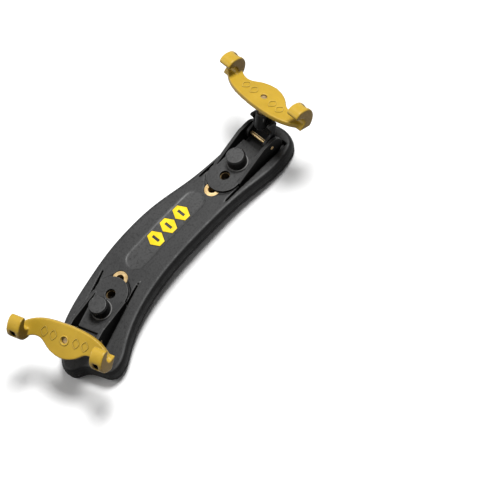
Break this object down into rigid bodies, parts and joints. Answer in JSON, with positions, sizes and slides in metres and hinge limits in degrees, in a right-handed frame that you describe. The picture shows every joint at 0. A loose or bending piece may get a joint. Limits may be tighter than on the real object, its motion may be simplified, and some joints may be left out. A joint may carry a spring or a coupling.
{
  "type": "violin shoulder rest",
  "caption": "Curved violin shoulder rest with a padded bar, clamped end carriages, and folding, height-adjustable forks with rubber-covered claws.",
  "frame": {"origin": "middle of the part's box, on the plane the foam pad rests on", "axes": "+X along the bar toward its narrow end, +Z toward the violin, +Y toward the outside of the bar's bend"},
  "size_m": [0.2488, 0.0928, 0.0685],
  "materials": {
    "black_plastic": "matte",
    "foam": "matte",
    "brass": "satin",
    "steel": "satin",
    "yellow_rubber": "matte",
    "yellow_paint": "satin"
  },
  "bodies": {
    "bar": {"base_bar": "black_plastic", "foam_pad": "foam", "emblem": "yellow_paint", "narrow_insert_inner": "brass", "narrow_insert_middle": "brass", "narrow_insert_outer": "brass", "narrow_carriage": "black_plastic", "narrow_hinge_pin": "brass", "wide_insert_inner": "brass", "wide_insert_middle": "brass", "wide_insert_outer": "brass", "wide_carriage": "black_plastic", "wide_hinge_pin": "brass"},
    "narrow_clamp_lift": {"narrow_clamp_washer": "black_plastic"},
    "narrow_clamp": {"narrow_clamp_knob": "black_plastic", "narrow_clamp_screw": "steel"},
    "narrow_leg": {"narrow_leg_block": "black_plastic", "narrow_leg_nut": "steel"},
    "narrow_stud": {"narrow_fork_stud": "brass"},
    "narrow_fork": {"narrow_fork_core": "steel", "narrow_fork_cover": "yellow_rubber"},
    "wide_clamp_lift": {"wide_clamp_washer": "black_plastic"},
    "wide_clamp": {"wide_clamp_knob": "black_plastic", "wide_clamp_screw": "steel"},
    "wide_leg": {"wide_leg_block": "black_plastic", "wide_leg_nut": "steel"},
    "wide_stud": {"wide_fork_stud": "brass"},
    "wide_fork": {"wide_fork_core": "steel", "wide_fork_cover": "yellow_rubber"}
  },
  "joints": [
    {"name": "narrow_clamp_rise", "type": "slide", "parent": "bar", "child": "narrow_clamp_lift", "axis": [0.0896, -0.0003, 0.996], "range_m": [0, 0.004]},
    {"name": "narrow_clamp_turn", "type": "hinge", "parent": "narrow_clamp_lift", "child": "narrow_clamp", "pos_m": [0.07315, 0.00834, 0.01766], "axis": [0.0896, -0.0003, 0.996], "range_deg": [0, 1440]},
    {"name": "narrow_leg_fold", "type": "hinge", "parent": "bar", "child": "narrow_leg", "pos_m": [0.09549, 0.00826, 0.02047], "axis": [0.0035, 1, 0], "range_deg": [-72, 8]},
    {"name": "narrow_fork_rise", "type": "slide", "parent": "narrow_leg", "child": "narrow_stud", "axis": [0.4562, -0.0016, 0.8899], "range_m": [-0.0096, 0.004]},
    {"name": "narrow_fork_turn", "type": "hinge", "parent": "narrow_stud", "child": "narrow_fork", "pos_m": [0.11118, 0.0082, 0.05108], "axis": [0.4562, -0.0016, 0.8899], "range_deg": [-4320, 1800]},
    {"name": "wide_clamp_rise", "type": "slide", "parent": "bar", "child": "wide_clamp_lift", "axis": [-0.0632, -0.0184, 0.9978], "range_m": [0, 0.004]},
    {"name": "wide_clamp_turn", "type": "hinge", "parent": "wide_clamp_lift", "child": "wide_clamp", "pos_m": [-0.0662, 0.00408, 0.01983], "axis": [-0.0632, -0.0184, 0.9978], "range_deg": [0, 1440]},
    {"name": "wide_leg_fold", "type": "hinge", "parent": "bar", "child": "wide_leg", "pos_m": [-0.08759, -0.00214, 0.02317], "axis": [0.279, -0.9603, 0], "range_deg": [-76, 0]},
    {"name": "wide_fork_rise", "type": "slide", "parent": "wide_leg", "child": "wide_stud", "axis": [-0.5339, -0.1551, 0.8312], "range_m": [0, 0.0096]},
    {"name": "wide_fork_turn", "type": "hinge", "parent": "wide_stud", "child": "wide_fork", "pos_m": [-0.10051, -0.00589, 0.04328], "axis": [-0.5339, -0.1551, 0.8312], "range_deg": [0, 4320]}
  ],
  "couplings": [
    {"joint": "narrow_clamp_turn", "follows": "narrow_clamp_rise", "rad_per_m": 6283.2},
    {"joint": "narrow_fork_turn", "follows": "narrow_fork_rise", "rad_per_m": 7854},
    {"joint": "wide_clamp_turn", "follows": "wide_clamp_rise", "rad_per_m": 6283.2},
    {"joint": "wide_fork_turn", "follows": "wide_fork_rise", "rad_per_m": 7854}
  ]
}
